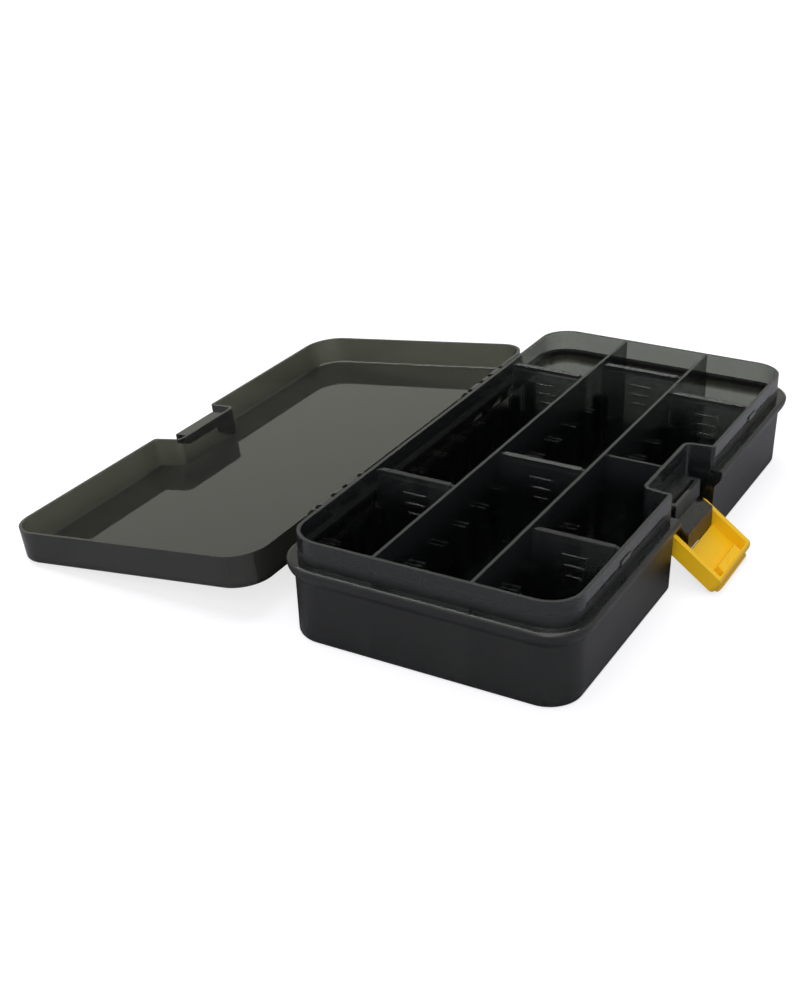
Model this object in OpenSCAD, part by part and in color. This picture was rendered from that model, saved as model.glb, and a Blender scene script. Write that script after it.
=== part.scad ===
// Flat tackle box with a hinged lid, one front latch and lift-out dividers.
// Shown as photographed: lid laid open behind the tray, latch swung down.
// Origin: centre of the tray's underside. +X right, -Y latch side, +Z up.

/* [Tray] */
// Outer length of the lower wall, just under the flange
tray_len = 302; // [280:1:340]
// Outer width of the lower wall, just under the flange
tray_wid = 145; // [135:1:170]
// Outer corner radius of the lower wall
tray_r = 17.5; // [14:0.5:20]
// Height of the ledge that the lid closes on
ledge_z = 40.4; // [38:0.2:60]
// Wall thickness of the tray
wall = 1.8; // [1.4:0.1:2.4]
// Floor thickness of the tray
floor_t = 2; // [1.4:0.1:3]
// How far the lower wall leans in from the ledge to the floor
draft = 1.1; // [0.4:0.1:2]
// Radius of the edge round the underside
base_r = 2.6; // [1.5:0.1:4]
// How far the rolled flange stands out from the lower wall
flange_out = 3.4; // [2.4:0.1:4.5]
// Height of the rolled flange
flange_h = 8.8; // [6:0.2:12]
// Radius of the flange's upper edge
flange_r = 1.7; // [1:0.1:2.4]

/* [Upright band] */
// Height of the upright band above the ledge
band_h = 12.6; // [8:0.2:15]
// How far the band is set in from the lower wall
band_in = 1.6; // [1.2:0.1:2.5]
// Outer corner radius of the band
band_r = 16.6; // [13:0.2:19]
// Width of each snap boss on the front of the band
boss_w = 10.5; // [6:0.5:16]
// How far a snap boss stands out
boss_out = 0.5; // [0.3:0.05:0.6]
// Height of each snap boss
boss_h = 3; // [2:0.2:5]
// Height of the snap bosses above the ledge
boss_up = 5; // [3:0.2:7]

/* [Lanes and slots] */
// Distance from the middle to the centre of each lane wall
lane_y = 24.4; // [20:0.2:28]
// Thickness of the lane walls
lane_t = 1.6; // [1.2:0.1:2.2]
// Distance from each end of the tray to its last divider slot
slot_margin = 40.25; // [34:0.25:50]
// Slots on each side of the middle one
slot_side = 5; // [4:1:5]
// Thickness of one slot rail
rail_t = 1.5; // [1:0.1:2]
// How far a slot rail stands out from its wall
rail_out = 4.2; // [3:0.1:5]
// Height of the top of the slot rails
rail_top = 32; // [20:0.5:36]
// Thickness of the fixed partition behind the latch
part_t = 1.4; // [1:0.1:2]
// How far the partition stops below the rim
part_low = 1.5; // [0.5:0.1:4]

/* [Dividers] */
// Thickness of a divider plate
div_t = 1.6; // [1.2:0.1:1.8]
// Thickness of the bar along a divider's top
div_bar_t = 3.2; // [2.6:0.1:4]
// Height of the bar along a divider's top
div_bar_h = 3; // [2:0.1:4]
// How far the bar stops short of the plate's ends
div_bar_end = 2.6; // [2:0.1:4]
// Size of the eased corners of a divider plate
div_ease = 1.2; // [0.6:0.1:2]
// Distance from a divider's top to its first finger rib
grip_top = 10; // [8:0.5:14]
// Length of the first finger rib
grip_len = 12.4; // [8:0.2:16]
// How much shorter each finger rib is than the one above it
grip_step = 2.5; // [0:0.1:3.5]
// Radius of a divider's finger ribs
grip_r = 0.8; // [0.5:0.05:1]
// Distance from one finger rib to the next
grip_pitch = 5.4; // [4:0.1:6.5]

/* [Lid] */
// How far the lid's rim stands out past the tray's wall at each end
lid_past_x = 2.25; // [1.5:0.05:3.4]
// How far the lid's rim stands out past the tray's wall at front and back
lid_past_y = 3.4; // [2:0.1:4.5]
// Outer corner radius of the lid
lid_r = 18; // [15:0.5:22]
// Outer depth of the lid
lid_h = 17.3; // [16:0.1:30]
// Wall thickness of the lid
lid_wall = 1.7; // [1.3:0.1:2.2]
// Thickness of the lid's panel
panel_t = 1.75; // [1.3:0.05:2.4]
// Radius of the lid's outer edge
lid_edge_r = 2; // [1.2:0.1:3]
// How far the lid's walls lean in towards its panel
lid_draft = 0.6; // [0.2:0.1:1.2]
// How far the lid has swung from closed, in degrees
lid_open = 187.8; // [150:0.1:188]

/* [Notch] */
// Half width of the notch in the band, at the back of the notch
notch_half = 28.1; // [26:0.1:34]
// Distance from the band's front to the back of the notch
notch_deep = 14; // [12:0.2:16]
// How far each side of the notch flares out towards the front
notch_flare = 1.5; // [0.5:0.1:2.5]
// Corner radius at the back of the notch
notch_r = 3; // [2:0.2:5]
// Radius where the notch opens to the front
mouth_r = 2.2; // [1:0.1:3.5]
// Space between the back of the lid's notch and the tray's
notch_gap = 1; // [0.7:0.1:1.6]
// Space between the sides of the lid's notch and the tray's
notch_side_gap = 0.7; // [0.5:0.1:1.2]

/* [Hinge] */
// How far the hinge axis lies below the ledge
hinge_low = 0.85; // [0:0.05:2]
// Distance from the lid's back wall to the hinge axis
hinge_out = 6.45; // [5:0.05:10]
// Radius of the moulded hinge bar
hinge_pin_r = 2; // [1.5:0.1:2.5]
// Outer radius of the hinge rings and lugs
hinge_ring_r = 3.5; // [3:0.1:4]
// Distance from the middle to the centre of each hinge
hinge_x = 80.9; // [60:0.5:110]
// Length of each hinge bar
hinge_len = 47.5; // [40:0.5:60]
// Width of the lug in the middle of each hinge
hinge_mid_w = 6.7; // [4:0.1:10]
// Width of the lug at each end of a hinge
hinge_end_w = 2; // [1.5:0.1:3]
// Width of each ring on the tray
hinge_ring_w = 10; // [6:0.5:14]
// Height of the hinge lugs on the lid's back wall
lug_h = 6; // [3:0.2:9]
// Depth of the windows cut in the lid's back wall
window_h = 3.6; // [2:0.1:6]

/* [Latch block] */
// Half width of the block in the notch
block_half = 17.3; // [14:0.1:18]
// Wall thickness of the block
block_t = 1.8; // [1.4:0.1:2.4]
// How far the block reaches below the latch's pivot
block_drop = 6.3; // [5:0.1:8]
// Height of the foot of the block's ramp above the pivot
ramp_low = 4.4; // [3:0.1:6]
// Height of the top of the block's ramp above the pivot
ramp_high = 8.9; // [7:0.1:11]
// Half length of the slot in the top of the block
slot_half = 14.4; // [10:0.2:15]
// Width of the slot in the top of the block
slot_w = 2; // [1.5:0.1:3]
// Distance from the front of the block's top to the slot
slot_in = 1.7; // [1.2:0.1:4]

/* [Latch] */
// Half width of the latch
latch_half = 23; // [20:0.1:24]
// Thickness of the latch's side walls
latch_side = 3.3; // [2:0.1:3.6]
// Thickness of the latch's face
latch_face = 2.8; // [1.5:0.1:3.2]
// Thickness of the latch's end wall
latch_end_t = 3; // [2:0.1:4]
// Distance from the pivot to the latch's outer face
latch_out = 3.4; // [3:0.1:4]
// Distance from the pivot to the start of the latch's face
face_low = 10; // [9.6:0.1:12]
// Corner radius of the latch, seen from the front
latch_r = 3; // [1.5:0.5:5]
// Depth of the latch's side walls
latch_deep = 8.4; // [7:0.1:9.5]
// Length of the latch from its pivot to the end of its side walls
latch_len = 31.4; // [28:0.1:34]
// Half width of the finger lip
lip_half = 20; // [12:0.1:21]
// How far the finger lip stands out past the end wall
lip_out = 1.7; // [1:0.1:3]
// How far the lip's underside is set in from the latch's outer face
lip_up = 0.4; // [0:0.1:1]
// Thickness of the finger lip
lip_t = 3; // [1.5:0.1:4]
// Half width of the hook bar
hook_half = 12.6; // [8:0.2:16]
// Height of the hook bar above the latch's outer face
hook_deep = 7.2; // [6:0.1:8]
// Radius of the latch's pivot pins
latch_pin_r = 2; // [1.5:0.1:2.4]
// How far the latch's pivot lies below the ledge
latch_low = 18.1; // [17:0.1:20]
// How far the latch's pivot is set in from the front of the tray's wall
latch_in = 4.2; // [3.5:0.1:5]
// How far the latch has swung from closed, in degrees
latch_open = 126.5; // [90:0.5:130]

/* [Catch] */
// Half length of the catch bar on the lid
catch_half = 17.8; // [12:0.2:19.4]
// Height of the catch bar
catch_h = 5.2; // [3:0.1:7]
// Height of the underside of the catch bar above the lid's rim
catch_low = 0.6; // [0.4:0.1:2]
// How far the closed hook reaches in over the catch bar
catch_lap = 3.5; // [1:0.1:3.8]

/* [Fits] */
// Radial clearance of hinge bar and pivot pins in their bores
pin_gap = 0.05; // [0.02:0.01:0.1]
// Space between parts that close on each other
close_gap = 0.3; // [0.3:0.05:0.5]
// Space between a divider and the walls or rails round it
div_gap = 0.3; // [0.25:0.05:0.5]

/* [Hidden] */
$fn = 48;
smoke = [0.2, 0.2, 0.2];
smoke_lid = [0.35, 0.35, 0.32];
yellow = [0.9, 0.72, 0.18];

// A cut runs past the faces that it opens by this much.
past = 1;
// A piece runs into the wall that carries it by this much.
bite = 0.6;

// Tray: half sizes at the corner centres, and heights.
tray_cx = tray_len / 2 - tray_r;
tray_cy = tray_wid / 2 - tray_r;
rim_z = ledge_z + band_h;
lean = draft / ledge_z;
band_x = tray_len / 2 - band_in;
band_y = tray_wid / 2 - band_in;
step_t = wall;
foot_r = tray_r - draft;
flange_past = flange_out + 4 * past;

// Lanes: the free width between the faces of their walls.
lane_face = lane_y + lane_t / 2;
outer_face = band_y - wall;
rail_wall = tray_wid / 2 - draft - wall;
slot_pitch = (tray_len / 2 - slot_margin) / slot_side;
slot_w_free = div_t + 2 * div_gap;

// Dividers: which lane, and how many slots from the middle.
div_low = floor_t + div_gap;
div_top = rim_z - 0.5;
plate_top = div_top - div_bar_h / 5;
bar_side = (div_bar_t - div_t) / 2;
bar_ease = div_bar_t / 8;
back_left = -3;
back_right = 4;
middle_left = -1;
middle_right = 5;
front_left = -4;
front_right = 4;

// Lid, drawn closed. Its inner corner is eased.
lid_len = tray_len + 2 * lid_past_x;
lid_wid = tray_wid + 2 * lid_past_y;
lid_ease = 0.5;
lid_z = ledge_z + close_gap;
lid_cx = lid_len / 2 - lid_r;
lid_cy = lid_wid / 2 - lid_r;
lid_top = lid_z + lid_h;
hinge_y = lid_wid / 2 + hinge_out;
hinge_z = ledge_z - hinge_low;

// Notch: how far back its walls stand, in the band and in the lid.
notch_y = band_y - notch_deep;
lid_notch_y = notch_y + notch_gap + lid_wall;
lid_notch_half = notch_half - notch_side_gap - lid_wall;

// Field that holds the notch, and that the slot rails keep out of.
field_x = notch_half + 8;
field_low = tray_wid / 2 + flange_past + 8;
field_high = notch_y - 8;

// Latch, drawn closed. Y is its depth and Z its length, from the pivot.
latch_y = tray_wid / 2 - latch_in;
latch_z = ledge_z - latch_low;
latch_end_r = latch_deep / 2;
latch_end_y = latch_end_r - latch_out;
latch_inner = latch_half - latch_side;
latch_boss_r = latch_pin_r + 1.3;
hook_y = hook_deep - latch_out;

// Catch bar: stands on the lid's notch wall, under the latch's hook.
catch_out = latch_y - hook_y + catch_lap;
catch_z = lid_z + catch_low;
hook_z = catch_z + catch_h + close_gap - latch_z;

// Block: its top stands a gap behind the closed latch's face, and its low
// front is flush with the flange.
block_y = latch_y + latch_out - latch_face - close_gap;
block_low_y = tray_wid / 2 + flange_out;
block_low_z = latch_z - block_drop;
block_ease = 0.8;

// Points of an arc from angle a0 to a1.
function arc(x, y, r, a0, a1, n = 8) =
    [for (i = [0:n]) let (a = a0 + (a1 - a0) * i / n) [x + r * cos(a), y + r * sin(a)]];

// Rectangle with true round corners, given by its half sizes.
module round_rect(hx, hy, r) {
    square([2 * hx, 2 * (hy - r)], center = true);
    square([2 * (hx - r), 2 * hy], center = true);
    for (sx = [-1, 1], sy = [-1, 1])
        translate([sx * (hx - r), sy * (hy - r)])
            circle(r);
}

// Solid whose edge section runs round a rounded rectangle. The section's X is
// the distance out from the corner centres, and its Y is the height.
module round_solid(cx, cy, low, high) {
    for (side = [0, 1]) {
        mirror([0, side, 0])
            translate([0, cy, 0])
                rotate([90, 0, 90])
                    linear_extrude(height = 2 * cx, center = true)
                        children();
        mirror([side, 0, 0])
            translate([cx, 0, 0])
                rotate([90, 0, 0])
                    linear_extrude(height = 2 * cy, center = true)
                        children();
    }
    for (i = [0:3])
        translate([i == 0 || i == 3 ? cx : -cx, i < 2 ? cy : -cy, 0])
            rotate([0, 0, 90 * i])
                rotate_extrude(angle = 90)
                    children();
    translate([-cx, -cy, low])
        cube([2 * cx, 2 * cy, high - low]);
}

// Plan of a body with a notch in its front, its mouth rounded.
module notched_plan(hx, hy, r, half, back_y) {
    offset(r = mouth_r)
        offset(delta = -mouth_r)
            difference() {
                round_rect(hx, hy, r);
                hull() {
                    for (s = [-1, 1])
                        translate([s * (half - notch_r), -back_y - notch_r])
                            circle(notch_r, $fn = 32);
                    translate([0, -hy - past])
                        square([2 * (half + notch_flare), past], center = true);
                }
            }
}

// What a notch takes from the front: the field less the plan given.
module notch_cut() {
    difference() {
        translate([-field_x, -field_low])
            square([2 * field_x, field_low - field_high]);
        children();
    }
}

// Plans of the tray at its foot, of its band and of the lid.
module foot_plan() {
    notched_plan(tray_len / 2 + flange_past, tray_wid / 2 + flange_past, tray_r + flange_past,
                 notch_half, notch_y);
}

module band_plan() {
    notched_plan(band_x, band_y, band_r, notch_half, notch_y);
}

module lid_plan() {
    notched_plan(lid_len / 2, lid_wid / 2, lid_r, lid_notch_half, lid_notch_y);
}

// Section of the tray's foot, lower wall and rolled flange.
module tray_section() {
    nose = tray_r + flange_out;
    polygon(concat(
        [[0, 0]],
        arc(foot_r - base_r + lean * base_r, base_r, base_r, -90, 0, 6),
        [[tray_r - lean * flange_h, ledge_z - flange_h]],
        [[nose - 0.38 * flange_out, ledge_z - 0.66 * flange_h]],
        [[nose - 0.12 * flange_out, ledge_z - 0.45 * flange_h]],
        arc(nose - flange_r, ledge_z - flange_r, flange_r, 0, 90, 6),
        [[0, ledge_z]]
    ));
}

// Section of the space inside the lower wall, with its bottom corner eased.
module hollow_section() {
    ease = wall / 2;
    polygon([
        [0, floor_t],
        [foot_r - wall - ease, floor_t],
        [foot_r - wall + lean * (floor_t + ease), floor_t + ease],
        [tray_r - wall, ledge_z - step_t - wall / 3],
        [tray_r - band_in - wall / 2, ledge_z - step_t],
        [0, ledge_z - step_t]
    ]);
}

// The tray's outside: foot, lower wall, flange and upright band.
module tray_outside() {
    difference() {
        round_solid(tray_cx, tray_cy, 0, ledge_z)
            tray_section();
        translate([0, 0, -past])
            linear_extrude(height = ledge_z + past)
                notch_cut()
                    foot_plan();
    }
    translate([0, 0, ledge_z - step_t])
        linear_extrude(height = band_h + step_t)
            band_plan();
}

// Plan of the slot rails, in pairs along the walls of every lane. Those on
// the outer walls run out into the wall.
module slot_rails() {
    inner = rail_out + lane_t / 2;
    outer = rail_out + wall;
    for (k = [-slot_side:slot_side], s = [-1, 1])
        translate([k * slot_pitch + s * (slot_w_free + rail_t) / 2, 0]) {
            for (m = [-1, 1])
                translate([0, m * (lane_y - inner / 2)])
                    square([rail_t, inner], center = true);
            for (m = [-1, 1])
                if (m > 0 || abs(k * slot_pitch) > field_x) {
                    translate([0, m * (lane_y + inner / 2)])
                        square([rail_t, inner], center = true);
                    translate([0, m * (rail_wall + wall - outer / 2)])
                        square([rail_t, outer], center = true);
                }
        }
}

// The space inside the tray, less the lane walls, the partition behind the
// latch and the slot rails, which stand in it.
module tray_inside() {
    difference() {
        union() {
            difference() {
                round_solid(tray_cx, tray_cy, floor_t, ledge_z - step_t)
                    hollow_section();
                linear_extrude(height = ledge_z)
                    notch_cut()
                        offset(delta = -wall)
                            foot_plan();
            }
            translate([0, 0, ledge_z - step_t - bite])
                linear_extrude(height = band_h + step_t + bite + past)
                    offset(delta = -wall)
                        band_plan();
        }
        for (m = [-1, 1])
            translate([-tray_len / 2, m * lane_y - lane_t / 2, 0])
                cube([tray_len, lane_t, rim_z]);
        translate([-part_t / 2, -notch_y, 0])
            cube([part_t, notch_y - lane_y, rim_z - part_low]);
        linear_extrude(height = rail_top)
            slot_rails();
    }
}

// Side view of the latch block, grown inwards by t for its hollow.
module block_side(t) {
    low = block_low_z - (t > 0 ? past : 0);
    polygon([
        [-notch_y + bite, ledge_z - t],
        [-block_y + t, ledge_z - t],
        [-block_y + t, latch_z + ramp_high - 0.4 * t],
        [-block_low_y + t, latch_z + ramp_low - 0.4 * t],
        [-block_low_y + t, low + block_ease],
        [-block_low_y + t + block_ease, low],
        [-notch_y + bite, low]
    ]);
}

// Block that carries the latch's pivot, hollow below, with a slot on top.
module latch_block() {
    difference() {
        rotate([90, 0, 90])
            linear_extrude(height = 2 * block_half, center = true)
                block_side(0);
        difference() {
            rotate([90, 0, 90])
                linear_extrude(height = 2 * (block_half - block_t), center = true)
                    block_side(block_t);
            translate([-block_half, -notch_y, 0])
                cube([2 * block_half, bite + past, rim_z]);
        }
        translate([-slot_half, -block_y + slot_in, ledge_z - block_t - past])
            cube([2 * slot_half, slot_w, block_t + 2 * past]);
        translate([0, -latch_y, latch_z])
            rotate([0, 90, 0])
                cylinder(r = latch_pin_r + pin_gap, h = 2 * block_half + past, center = true);
    }
}

// Ring and arm on the tray's back that hold the lid's hinge bar.
module hinge_ring() {
    rotate([90, 0, 90])
        linear_extrude(height = hinge_ring_w, center = true)
            difference() {
                union() {
                    translate([hinge_y, hinge_z])
                        circle(hinge_ring_r);
                    polygon([
                        [tray_wid / 2, ledge_z - 0.27 * flange_h],
                        [tray_wid / 2, ledge_z - 0.82 * flange_h],
                        [hinge_y + hinge_ring_r * cos(70), hinge_z - hinge_ring_r * sin(70)],
                        [hinge_y - 0.3 * hinge_ring_r, hinge_z + 0.54 * hinge_ring_r]
                    ]);
                }
                translate([hinge_y, hinge_z])
                    circle(hinge_pin_r + pin_gap);
            }
}

// Offsets of the tray's rings from the middle of a hinge.
ring_at = (hinge_mid_w + hinge_len) / 4 - hinge_end_w / 2;

module tray() color(smoke) {
    difference() {
        tray_outside();
        tray_inside();
    }
    for (s = [-1, 1])
        translate([s * front_right * slot_pitch - boss_w / 2, -band_y - boss_out, ledge_z + boss_up])
            cube([boss_w, boss_out + wall / 2, boss_h]);
    latch_block();
    for (s = [-1, 1], k = [-1, 1])
        translate([s * hinge_x + k * ring_at, 0, 0])
            hinge_ring();
}

// Divider standing in a lane between its two walls, y0 and y1.
module divider(k, y0, y1) {
    half = (y1 - y0) / 2;
    translate([k * slot_pitch, (y0 + y1) / 2, 0]) {
        rotate([90, 0, 90])
            linear_extrude(height = div_t, center = true)
                polygon([
                    [-half + div_ease, div_low],
                    [half - div_ease, div_low],
                    [half, div_low + div_ease],
                    [half, plate_top - div_ease / 2],
                    [half - div_ease, plate_top],
                    [-half + div_ease, plate_top],
                    [-half, plate_top - div_ease / 2],
                    [-half, div_low + div_ease]
                ]);
        rotate([90, 0, 0])
            linear_extrude(height = 2 * (half - div_bar_end), center = true)
                polygon([
                    [-div_t / 2, div_top - div_bar_h - bar_side],
                    [div_t / 2, div_top - div_bar_h - bar_side],
                    [div_bar_t / 2, div_top - div_bar_h],
                    [div_bar_t / 2, div_top - bar_ease],
                    [div_bar_t / 2 - bar_ease, div_top],
                    [bar_ease, div_top],
                    [0, div_top - bar_ease],
                    [-bar_ease, div_top],
                    [bar_ease - div_bar_t / 2, div_top],
                    [-div_bar_t / 2, div_top - bar_ease],
                    [-div_bar_t / 2, div_top - div_bar_h]
                ]);
        for (i = [0:2])
            translate([-div_t / 2, 0, div_top - grip_top - i * grip_pitch])
                rotate([90, 0, 0])
                    cylinder(r = grip_r, h = grip_len - grip_step * i, center = true, $fn = 24);
    }
}

module divider_back(k) divider(k, lane_face + div_gap, outer_face - div_gap);
module divider_middle(k) divider(k, lane_t + div_gap - lane_face, lane_face - lane_t - div_gap);
module divider_front(k) divider(k, div_gap - outer_face, -lane_face - div_gap);

module divider_back_left() color(smoke) divider_back(back_left);
module divider_back_right() color(smoke) divider_back(back_right);
module divider_middle_left() color(smoke) divider_middle(middle_left);
module divider_middle_right() color(smoke) divider_middle(middle_right);
module divider_front_left() color(smoke) divider_front(front_left);
module divider_front_right() color(smoke) divider_front(front_right);

// Section of the lid's outside, with its rounded edge.
module lid_section() {
    top_d = lid_r - lid_draft;
    polygon(concat(
        [[0, lid_z], [lid_r, lid_z]],
        arc(top_d - lid_edge_r, lid_top - lid_edge_r, lid_edge_r, 0, 90, 6),
        [[0, lid_top]]
    ));
}

// Section of the lid's inside.
module lid_hollow_section() {
    top_d = lid_r - lid_draft - lid_wall;
    polygon([
        [0, lid_z - past],
        [lid_r - lid_wall, lid_z - past],
        [lid_r - lid_wall, lid_z],
        [top_d, lid_top - panel_t - lid_ease],
        [top_d - lid_ease, lid_top - panel_t],
        [0, lid_top - panel_t]
    ]);
}

// Lug that joins the lid's back wall to its hinge bar.
module hinge_lug(w) {
    wall_y = (lid_wid - lid_wall) / 2;
    rotate([90, 0, 90])
        linear_extrude(height = w, center = true) {
            translate([hinge_y, hinge_z])
                circle(hinge_ring_r);
            polygon([
                [wall_y, lid_z + close_gap],
                [wall_y + lid_wall, lid_z + close_gap],
                [hinge_y - hinge_ring_r * sin(48), hinge_z - hinge_ring_r * cos(48)],
                [hinge_y + hinge_ring_r * sin(24), hinge_z + hinge_ring_r * cos(24)],
                [wall_y, lid_z + lug_h]
            ]);
        }
}

module lid_closed() {
    difference() {
        round_solid(lid_cx, lid_cy, lid_z, lid_top)
            lid_section();
        difference() {
            round_solid(lid_cx, lid_cy, lid_z - past, lid_top - panel_t)
                lid_hollow_section();
            translate([0, 0, lid_z - past])
                linear_extrude(height = lid_h)
                    notch_cut()
                        offset(delta = -lid_wall)
                            lid_plan();
        }
        translate([0, 0, lid_z - past])
            linear_extrude(height = lid_h + 2 * past)
                notch_cut()
                    lid_plan();
        for (s = [-1, 1], k = [-1, 1])
            translate([s * hinge_x + k * ring_at, lid_wid / 2, lid_z])
                cube([hinge_len / 2 - hinge_mid_w / 2 - hinge_end_w, 4 * lid_wall, 2 * window_h],
                     center = true);
    }
    translate([-catch_half, -catch_out, catch_z])
        cube([2 * catch_half, catch_out - lid_notch_y + lid_wall / 2, catch_h]);
    for (s = [-1, 1]) {
        translate([s * hinge_x, hinge_y, hinge_z])
            rotate([0, 90, 0])
                cylinder(r = hinge_pin_r, h = hinge_len, center = true);
        translate([s * hinge_x, 0, 0])
            hinge_lug(hinge_mid_w);
        for (k = [-1, 1])
            translate([s * hinge_x + k * (hinge_len - hinge_end_w) / 2, 0, 0])
                hinge_lug(hinge_end_w);
    }
}

module lid() color(smoke_lid)
    translate([0, hinge_y, hinge_z])
        rotate([-lid_open, 0, 0])
            translate([0, -hinge_y, -hinge_z])
                lid_closed();

// Side view of the latch, round at the pivot and at the free end.
module latch_side_view() {
    rim_y = latch_deep - latch_out;
    translate([latch_end_y, 0])
        circle(latch_end_r);
    polygon(concat(
        [[-latch_out, 0], [rim_y, 0]],
        arc(rim_y - latch_end_t, latch_len - latch_end_t, latch_end_t, 0, 75, 5),
        arc(1.2 - latch_out, latch_len - 1.2, 1.2, 90, 180, 4)
    ));
}

// Front view of the latch, less t at its sides and top, with round corners.
module latch_front_view(t, top_t, r) {
    hx = latch_half - t;
    top = latch_len - top_t;
    translate([-hx, -latch_len])
        square([2 * hx, latch_len + top - r]);
    translate([r - hx, -latch_len])
        square([2 * (hx - r), latch_len + top]);
    for (s = [-1, 1])
        translate([s * (hx - r), top - r])
            circle(r, $fn = 32);
}

// The latch's face, side walls and end wall. All but the side walls stops at
// the start of the face, so that they straddle the block.
module latch_shell() {
    difference() {
        intersection() {
            rotate([90, 0, 90])
                linear_extrude(height = 2 * latch_half, center = true)
                    latch_side_view();
            rotate([90, 0, 0])
                linear_extrude(height = 4 * latch_deep, center = true)
                    latch_front_view(0, 0, latch_r);
        }
        translate([0, latch_face - latch_out, 0])
            rotate([90, 0, 0])
                mirror([0, 0, 1])
                    linear_extrude(height = 2 * latch_deep)
                        latch_front_view(latch_side, latch_end_t, 1);
        translate([-latch_inner, -latch_deep, -latch_len])
            cube([2 * latch_inner, 2 * latch_deep, latch_len + face_low]);
    }
}

// Lip for the finger, along the foot of the end wall, with round corners.
module finger_lip() {
    r = lip_t / 2 + lip_out / 2;
    translate([0, lip_up - latch_out, latch_len - latch_end_t / 2])
        rotate([90, 0, 0])
            mirror([0, 0, 1])
                linear_extrude(height = lip_t) {
                    translate([-lip_half, 0])
                        square([2 * lip_half, lip_out + latch_end_t / 2 - r]);
                    translate([r - lip_half, 0])
                        square([2 * (lip_half - r), lip_out + latch_end_t / 2]);
                    for (s = [-1, 1])
                        translate([s * (lip_half - r), lip_out + latch_end_t / 2 - r])
                            circle(r, $fn = 32);
                }
}

// Latch, closed, with its pivot on the X axis.
module latch_closed() {
    boss_in = block_half + close_gap;
    pin_in = block_half - block_t;
    latch_shell();
    finger_lip();
    for (s = [-1, 1]) {
        translate([s * (boss_in + latch_inner + bite) / 2, 0, 0])
            rotate([0, 90, 0])
                cylinder(r = latch_boss_r, h = latch_inner + bite - boss_in, center = true);
        translate([s * (pin_in + latch_inner) / 2, 0, 0])
            rotate([0, 90, 0])
                cylinder(r = latch_pin_r, h = latch_inner - pin_in, center = true);
    }
    translate([-hook_half, latch_face / 2 - latch_out, hook_z])
        cube([2 * hook_half, hook_deep - latch_face / 2, latch_len - latch_end_t / 2 - hook_z]);
}

module latch() color(yellow)
    translate([0, -latch_y, latch_z])
        rotate([latch_open, 0, 0])
            latch_closed();

tray();
lid();
latch();
divider_back_left();
divider_back_right();
divider_middle_left();
divider_middle_right();
divider_front_left();
divider_front_right();
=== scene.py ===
import math

import bmesh
import bpy
from mathutils import Matrix, Vector

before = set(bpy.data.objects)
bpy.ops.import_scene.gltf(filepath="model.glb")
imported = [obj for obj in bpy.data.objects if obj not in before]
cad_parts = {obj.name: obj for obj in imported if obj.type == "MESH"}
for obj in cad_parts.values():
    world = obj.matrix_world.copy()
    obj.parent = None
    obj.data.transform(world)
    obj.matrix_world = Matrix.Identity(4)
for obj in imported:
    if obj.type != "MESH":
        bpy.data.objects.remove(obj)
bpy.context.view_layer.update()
scene = bpy.context.scene
scene.view_settings.view_transform = "Standard"

# ---------------------------------------------------------------- Camera
# It stands at the front left, a little above the box, with a lens a little
# longer than normal. Its place and angles come from the box's straight edges
# in the picture: metres, degrees, and millimetres for lens and sensor.
CAMERA_PLACE = (-0.6752, -0.2913, 0.3899)
CAMERA_YAW, CAMERA_PITCH, CAMERA_ROLL = 29.74, -26.70, -1.16
CAMERA_LENS, CAMERA_SENSOR = 57.21, 36.0
CAMERA_NEAR, CAMERA_FAR = 0.02, 30.0
# A camera that isn't turned looks straight down, with its top towards +Y.
# These two turns bring it level and facing +X, where yaw and pitch start.
TO_LEVEL, TO_FACE_X = 90.0, -90.0

camera_data = bpy.data.cameras.new("camera")
camera_data.sensor_width = CAMERA_SENSOR
camera_data.lens = CAMERA_LENS
camera_data.clip_start = CAMERA_NEAR
camera_data.clip_end = CAMERA_FAR
camera = bpy.data.objects.new("camera", camera_data)
scene.collection.objects.link(camera)
camera.matrix_world = (
    Matrix.Translation(CAMERA_PLACE)
    @ Matrix.Rotation(math.radians(CAMERA_YAW + TO_FACE_X), 4, "Z")
    @ Matrix.Rotation(math.radians(CAMERA_PITCH + TO_LEVEL), 4, "X")
    @ Matrix.Rotation(math.radians(CAMERA_ROLL), 4, "Z")
)
scene.camera = camera


# ---------------------------------------------------------------- Table top
# Pale grey laminated board under the box. To the eye it is burnt out to
# white, as in the photograph, and keeps a soft shadow round the box.
TABLE_HALF = 6.0
TABLE_Z = -0.0002
# The board as it is mirrored in the box, as it shows through the clear walls, and the painted
# shadow: a dark grey painted on it under tray and hinge for the deep shade there.
BOARD_MIRRORED, BOARD_THROUGH, BOARD_PAINTED_SHADOW = "A0A0A5", "F2F2EC", "2A2A2A"
# That painted shadow's edges at both ends, behind the hinge and in front: where each starts to
# fade, and where it is gone.
SHADOW_ENDS = (0.136, 0.146)
SHADOW_BACK = (0.098, 0.120)
SHADOW_FRONT = (-0.060, -0.068)
# How far the board is lifted towards white near the box, where its shadow
# has to stay, and further off, and from where to where that rises.
LIFT_NEAR, LIFT_FAR = 0.72, 1.0
LIFT_FROM, LIFT_TO = 0.35, 0.75
# Between the diffuse depth of a ray that has met no matt surface, which is
# 0, and that of one that has.
ONE_BOUNCE = 0.5


def srgb(code):
    """Linear colour, with alpha, of an sRGB hex code."""
    parts = [int(code[i : i + 2], 16) / 255 for i in (0, 2, 4)]
    linear = [c / 12.92 if c <= 0.04045 else ((c + 0.055) / 1.055) ** 2.4 for c in parts]
    return (*linear, 1.0)


def new_material(name):
    """An empty material, its node tree, and its output node."""
    mat = bpy.data.materials.new(name)
    mat.use_nodes = True
    tree = mat.node_tree
    tree.nodes.clear()
    return mat, tree, tree.nodes.new("ShaderNodeOutputMaterial")


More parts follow.
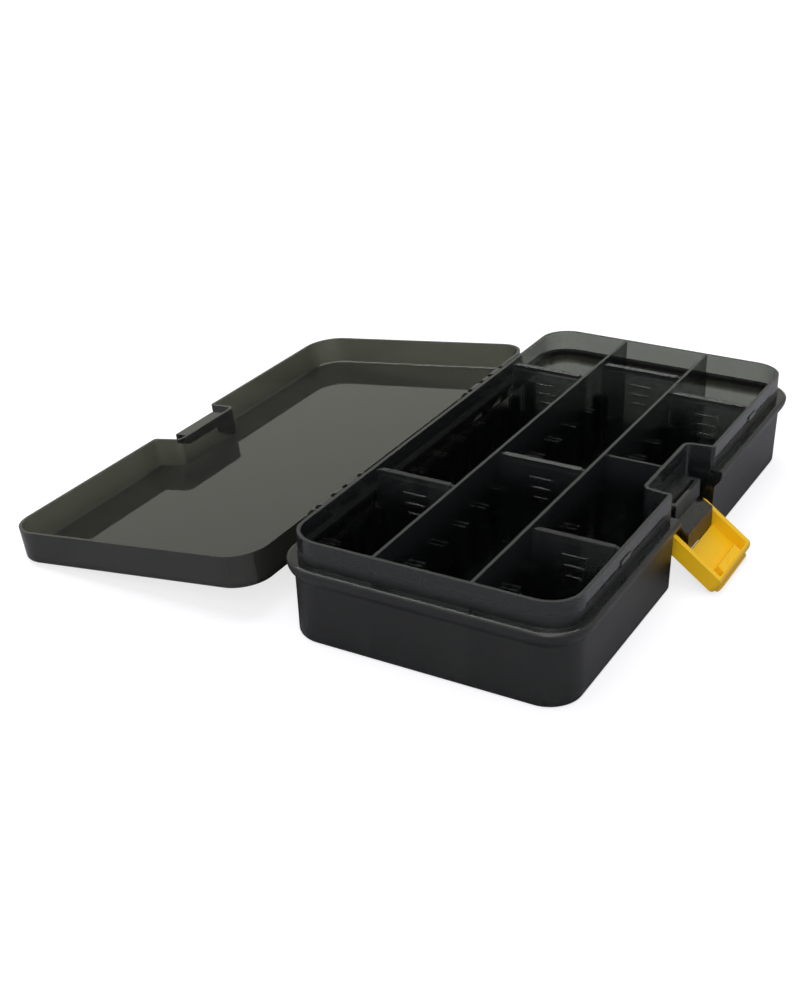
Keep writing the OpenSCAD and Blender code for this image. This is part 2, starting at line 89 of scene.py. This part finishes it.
def add(tree, kind, settings=(), **links):
    """Adds a node with its settings. Each link names a socket, or gives its
    number after an i, and holds its value or the socket that feeds it."""
    node = tree.nodes.new(kind)
    for name, value in dict(settings).items():
        setattr(node, name, value)
    for name, value in links.items():
        key = int(name[1:]) if name[0] == "i" and name[1:].isdigit() else name.replace("_", " ")
        socket = node.inputs[key]
        if isinstance(value, bpy.types.NodeSocket):
            tree.links.new(value, socket)
        else:
            socket.default_value = value
    return node


board, tree, out = new_material("grey_laminate_board")
ray = add(tree, "ShaderNodeLightPath")
coords = add(tree, "ShaderNodeTexCoord").outputs["Object"]
spot = add(tree, "ShaderNodeSeparateXYZ", i0=coords)

# The board's own grey, and its paler look through the clear walls, as pale
# as beside them. Light that has bounced off something matt meets the grey.
direct = add(
    tree, "ShaderNodeMath", {"operation": "LESS_THAN"},
    i0=ray.outputs["Diffuse Depth"], i1=ONE_BOUNCE,
)
through = add(
    tree, "ShaderNodeMath", {"operation": "MULTIPLY"},
    i0=ray.outputs["Is Transmission Ray"], i1=direct.outputs[0],
)
tone = add(
    tree, "ShaderNodeMix", {"data_type": "RGBA"},
    i0=through.outputs[0], i6=srgb(BOARD_MIRRORED), i7=srgb(BOARD_THROUGH),
)

# A painted shadow: the board under the box is painted dark for the deep shade there. It isn't
# drawn for the camera's own rays, which see the shadow that the lamps cast.
deep = add(
    tree, "ShaderNodeMath", {"operation": "SUBTRACT"}, i0=1.0, i1=ray.outputs["Is Camera Ray"],
)
along = add(tree, "ShaderNodeMath", {"operation": "ABSOLUTE"}, i0=spot.outputs["X"])
for place, (whole, gone) in (
    (along.outputs[0], SHADOW_ENDS),
    (spot.outputs["Y"], SHADOW_BACK),
    (spot.outputs["Y"], SHADOW_FRONT),
):
    fade = add(
        tree, "ShaderNodeMapRange", Value=place,
        From_Min=whole, From_Max=gone, To_Min=1.0, To_Max=0.0,
    )
    deep = add(
        tree, "ShaderNodeMath", {"operation": "MULTIPLY"},
        i0=deep.outputs[0], i1=fade.outputs[0],
    )
shaded = add(
    tree, "ShaderNodeMix", {"data_type": "RGBA"},
    i0=deep.outputs[0], i6=tone.outputs[2], i7=srgb(BOARD_PAINTED_SHADOW),
)
diffuse = add(tree, "ShaderNodeBsdfDiffuse", Color=shaded.outputs[2])

# Seen straight on, the board is lifted to white.
reach = add(tree, "ShaderNodeVectorMath", {"operation": "LENGTH"}, i0=coords)
lift = add(
    tree, "ShaderNodeMapRange", {"interpolation_type": "SMOOTHSTEP"},
    Value=reach.outputs["Value"], From_Min=LIFT_FROM, From_Max=LIFT_TO,
    To_Min=LIFT_NEAR, To_Max=LIFT_FAR,
)
glow = add(tree, "ShaderNodeEmission", Color=srgb("FFFFFF"), Strength=lift.outputs[0])
lifted = add(tree, "ShaderNodeAddShader", i0=diffuse.outputs[0], i1=glow.outputs[0])
seen = add(
    tree, "ShaderNodeMixShader",
    i0=ray.outputs["Is Camera Ray"], i1=diffuse.outputs[0], i2=lifted.outputs[0],
)
tree.links.new(seen.outputs[0], out.inputs["Surface"])

table_mesh = bpy.data.meshes.new("table_top")
bm = bmesh.new()
bmesh.ops.create_grid(
    bm, x_segments=1, y_segments=1, size=TABLE_HALF,
    matrix=Matrix.Translation((0, 0, TABLE_Z)),
)
bm.to_mesh(table_mesh)
bm.free()
table_mesh.materials.append(board)
table_top = bpy.data.objects.new("table_top", table_mesh)
scene.collection.objects.link(table_top)


# ---------------------------------------------------------------- Studio light
# A pale room: an even backdrop all round, a wide soft box above and behind
# the box, which draws the light along its rims, and a weaker one at the left
# that lights without showing in the shine.
ROOM_WHITE, MIRRORED_WHITE = "FFFFFF", "FCFCF0"
# The backdrop's strength as it lights what is matt, as the plastic mirrors
# it, which is the grey of the photograph's walls, and as it is seen, straight
# or through the plastic, which is white.
ROOM_LIGHT, ROOM_MIRRORED, ROOM_SEEN = 0.35, 0.6, 1.0

world = bpy.data.worlds.new("pale_studio")
scene.world = world
world.use_nodes = True
tree = world.node_tree
tree.nodes.clear()
out = tree.nodes.new("ShaderNodeOutputWorld")
ray = add(tree, "ShaderNodeLightPath")
room = add(tree, "ShaderNodeBackground", Color=srgb(ROOM_WHITE), Strength=ROOM_LIGHT)
mirrored = add(tree, "ShaderNodeBackground", Color=srgb(MIRRORED_WHITE), Strength=ROOM_MIRRORED)
backdrop = add(tree, "ShaderNodeBackground", Color=srgb(ROOM_WHITE), Strength=ROOM_SEEN)
shown = room
for kind, light in (
    ("Is Glossy Ray", mirrored), ("Is Transmission Ray", backdrop), ("Is Camera Ray", backdrop),
):
    shown = add(
        tree, "ShaderNodeMixShader",
        i0=ray.outputs[kind], i1=shown.outputs[0], i2=light.outputs[0],
    )
direct = add(
    tree, "ShaderNodeMath", {"operation": "LESS_THAN"},
    i0=ray.outputs["Diffuse Depth"], i1=ONE_BOUNCE,
)
sky = add(
    tree, "ShaderNodeMixShader", i0=direct.outputs[0], i1=room.outputs[0], i2=shown.outputs[0],
)
tree.links.new(sky.outputs[0], out.inputs["Surface"])


def soft_box(name, place, aim, size, power):
    """A rectangular area lamp that stands at place and faces aim."""
    data = bpy.data.lights.new(name, "AREA")
    data.shape = "RECTANGLE"
    data.size, data.size_y = size
    data.energy = power
    lamp = bpy.data.objects.new(name, data)
    lamp.location = place
    lamp.rotation_euler = (Vector(aim) - Vector(place)).to_track_quat("-Z", "Y").to_euler()
    scene.collection.objects.link(lamp)
    return lamp


soft_box("soft_box_above", place=(0.1, 0.45, 1.75), aim=(0, 0.05, 0), size=(2.2, 2.2), power=34)
left_lamp = soft_box(
    "soft_box_left", place=(-1.6, -0.7, 1.2), aim=(0, 0, 0), size=(1.2, 1.0), power=20,
)
left_lamp.visible_glossy = False


# ---------------------------------------------------------------- Tray and dividers
# Injection-moulded polypropylene with a smoke dye, polished in the mould.
# One shot makes the tray with its lanes. The dividers are moulded apart from
# the same plastic and slide down between its rails.
POLYPROPYLENE_IOR = 1.49
# The skin's patterns, by the width of a patch in millimetres: cloudy patches,
# marks from handling, which count for less, and the mould's slight waves.
CLOUD_MM, MARK_MM, WAVE_MM = 25.0, 1.22, 11.76
MARK_SHARE = 0.3
WAVE_STRENGTH, WAVE_HEIGHT = 0.06, 0.0002
# From the clearest skin to the cloudiest the roughness rises by this much,
# while the two patterns together go from low to high.
CLOUDING = 0.04
PATTERN_LOW, PATTERN_HIGH = 0.4, 0.9
# Half the tray's length and width at the rim. A face counts as outside where
# it points away from the tray's middle by more than this, 1 at the rim.
HALF_LENGTH, HALF_WIDTH = 0.152, 0.076
OUTSIDE = 0.6
# Between these heights the painted top light grows from none to all: the plastic grows cloudier
# towards the rim, which lightens the walls' tops as light from above would.
TOP_LIGHT_FROM, TOP_LIGHT_TO = 0.030, 0.052


def patches(width_mm):
    """The scale of a noise whose patches are this wide, in millimetres."""
    return 1000.0 / width_mm


def smoke_plastic(name, tone, milk, painted_top_light, dye, dye_per_m, gloss, matt, matt_below, shade):
    """Clear plastic with the dye all through it, so a thicker wall is darker. Its tone tints
    what passes and shows by as much as milk, and towards the rim by painted_top_light more:
    painted light, a cloudier top that lightens the walls as light from above would. Gloss is
    the roughness of the polished skin, and matt is added to it outside, below a height. Shade
    is how much light its shadow keeps."""
    mat, tree, out = new_material(name)
    texture = add(tree, "ShaderNodeTexCoord")
    coords = texture.outputs["Object"]
    height = add(tree, "ShaderNodeSeparateXYZ", i0=coords).outputs["Z"]

    # A polished skin, mirror-sharp to the eye, with faint cloudy patches.
    cloud = add(tree, "ShaderNodeTexNoise", Vector=coords, Scale=patches(CLOUD_MM), Detail=3.0)
    marks = add(tree, "ShaderNodeTexNoise", Vector=coords, Scale=patches(MARK_MM), Detail=2.0)
    pattern = add(
        tree, "ShaderNodeMath", {"operation": "MULTIPLY_ADD"},
        i0=marks.outputs[0], i1=MARK_SHARE, i2=cloud.outputs[0],
    )
    polished = add(
        tree, "ShaderNodeMapRange", Value=pattern.outputs[0],
        From_Min=PATTERN_LOW, From_Max=PATTERN_HIGH, To_Min=gloss, To_Max=gloss + CLOUDING,
    )

    # The outside, which blurs what it mirrors.
    facing = add(
        tree, "ShaderNodeVectorMath", {"operation": "MULTIPLY"},
        i0=texture.outputs["Normal"], i1=(1 / HALF_LENGTH, 1 / HALF_WIDTH, 0),
    )
    outward = add(
        tree, "ShaderNodeVectorMath", {"operation": "DOT_PRODUCT"},
        i0=facing.outputs[0], i1=coords,
    )
    outside = add(
        tree, "ShaderNodeMath", {"operation": "GREATER_THAN"},
        i0=outward.outputs["Value"], i1=OUTSIDE,
    )
    below = add(tree, "ShaderNodeMath", {"operation": "LESS_THAN"}, i0=height, i1=matt_below)
    where = add(
        tree, "ShaderNodeMath", {"operation": "MULTIPLY"},
        i0=outside.outputs[0], i1=below.outputs[0],
    )
    rough = add(
        tree, "ShaderNodeMath", {"operation": "MULTIPLY_ADD"},
        i0=where.outputs[0], i1=matt, i2=polished.outputs[0],
    )

    waves = add(tree, "ShaderNodeTexNoise", Vector=coords, Scale=patches(WAVE_MM), Detail=2.0)
    bump = add(
        tree, "ShaderNodeBump",
        Height=waves.outputs[0], Strength=WAVE_STRENGTH, Distance=WAVE_HEIGHT,
    )
    clarity = add(
        tree, "ShaderNodeMapRange", {"interpolation_type": "SMOOTHSTEP"}, Value=height,
        From_Min=TOP_LIGHT_FROM, From_Max=TOP_LIGHT_TO, To_Min=1.0 - milk, To_Max=1.0 - milk - painted_top_light,
    )
    plastic = add(
        tree, "ShaderNodeBsdfPrincipled", Base_Color=srgb(tone), Roughness=rough.outputs[0],
        IOR=POLYPROPYLENE_IOR, Transmission_Weight=clarity.outputs[0], Normal=bump.outputs[0],
    )
    shadow = add(tree, "ShaderNodeBsdfTransparent", Color=(shade, shade, shade, 1))
    ray = add(tree, "ShaderNodeLightPath")
    surface = add(
        tree, "ShaderNodeMixShader",
        i0=ray.outputs["Is Shadow Ray"], i1=plastic.outputs[0], i2=shadow.outputs[0],
    )
    dyed = add(tree, "ShaderNodeVolumeAbsorption", Color=srgb(dye), Density=dye_per_m)
    tree.links.new(surface.outputs[0], out.inputs["Surface"])
    tree.links.new(dyed.outputs[0], out.inputs["Volume"])
    return mat


def dress(node, mat):
    """Gives a CAD node its material."""
    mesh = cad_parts[node].data
    mesh.materials.clear()
    mesh.materials.append(mat)


# Black through several walls and grey where one stands against the light.
# The dye lets a little more red through than green, and no blue. The band
# above 45.5 mm, round the rim, is as polished outside as inside.
# Towards the rim the tray is cloudier: painted light that lightens the tops of its walls as
# light from above would.
tray_plastic = smoke_plastic(
    "smoke_polypropylene_tray", tone="DAE4EC", milk=0.004, painted_top_light=0.015,
    dye="554D00", dye_per_m=960.0, gloss=0.02, matt=0.36, matt_below=0.0455, shade=0.4,
)
dress("tray", tray_plastic)
for lane in ("back", "middle", "front"):
    for side in ("left", "right"):
        dress(f"divider_{lane}_{side}", tray_plastic)


# ---------------------------------------------------------------- Lid
# The same plastic, moulded in one with its hinge bars, which snap into the
# tray's rings. To the eye it is greyer and softer: it has more milk, and its
# broad panel mirrors the pale room more than it shows the table.
# It is matt at any height, on each face that points away from the tray.
ANY_HEIGHT = 0.5

lid_plastic = smoke_plastic(
    "smoke_polypropylene_lid", tone="F4F6EC", milk=0.017, painted_top_light=0.0,
    dye="3C4500", dye_per_m=1620.0, gloss=0.02, matt=0.1, matt_below=ANY_HEIGHT, shade=0.95,
)
dress("lid", lid_plastic)


# ---------------------------------------------------------------- Latch
# Opaque yellow polypropylene, moulded in one with its pivot pins, which snap
# into the tray's block. Its skin is satin: a soft light, with no mirror image.
LATCH_DEEP, LATCH_PALE = "E4B214", "EABB1E"
LATCH_SMOOTH, LATCH_ROUGH = 0.30, 0.42
LATCH_SHINE = 0.3
# Flow patches of the colour, and the grain. The real grain is finer; this is
# as fine as the picture shows.
FLOW_MM, GRAIN_MM = 16.67, 0.667
GRAIN_LOW, GRAIN_HIGH = 0.3, 0.7
GRAIN_STRENGTH, GRAIN_HEIGHT = 0.12, 0.0002

latch_plastic, tree, out = new_material("yellow_moulded_polypropylene")
coords = add(tree, "ShaderNodeTexCoord").outputs["Object"]
flow = add(tree, "ShaderNodeTexNoise", Vector=coords, Scale=patches(FLOW_MM), Detail=3.0)
tone = add(
    tree, "ShaderNodeMix", {"data_type": "RGBA"},
    i0=flow.outputs[0], i6=srgb(LATCH_DEEP), i7=srgb(LATCH_PALE),
)
grain = add(tree, "ShaderNodeTexNoise", Vector=coords, Scale=patches(GRAIN_MM), Detail=2.0)
rough = add(
    tree, "ShaderNodeMapRange", Value=grain.outputs[0],
    From_Min=GRAIN_LOW, From_Max=GRAIN_HIGH, To_Min=LATCH_SMOOTH, To_Max=LATCH_ROUGH,
)
bump = add(
    tree, "ShaderNodeBump",
    Height=grain.outputs[0], Strength=GRAIN_STRENGTH, Distance=GRAIN_HEIGHT,
)
satin = add(
    tree, "ShaderNodeBsdfPrincipled", Base_Color=tone.outputs[2], Roughness=rough.outputs[0],
    IOR=POLYPROPYLENE_IOR, Specular_IOR_Level=LATCH_SHINE, Normal=bump.outputs[0],
)
tree.links.new(satin.outputs[0], out.inputs["Surface"])
dress("latch", latch_plastic)
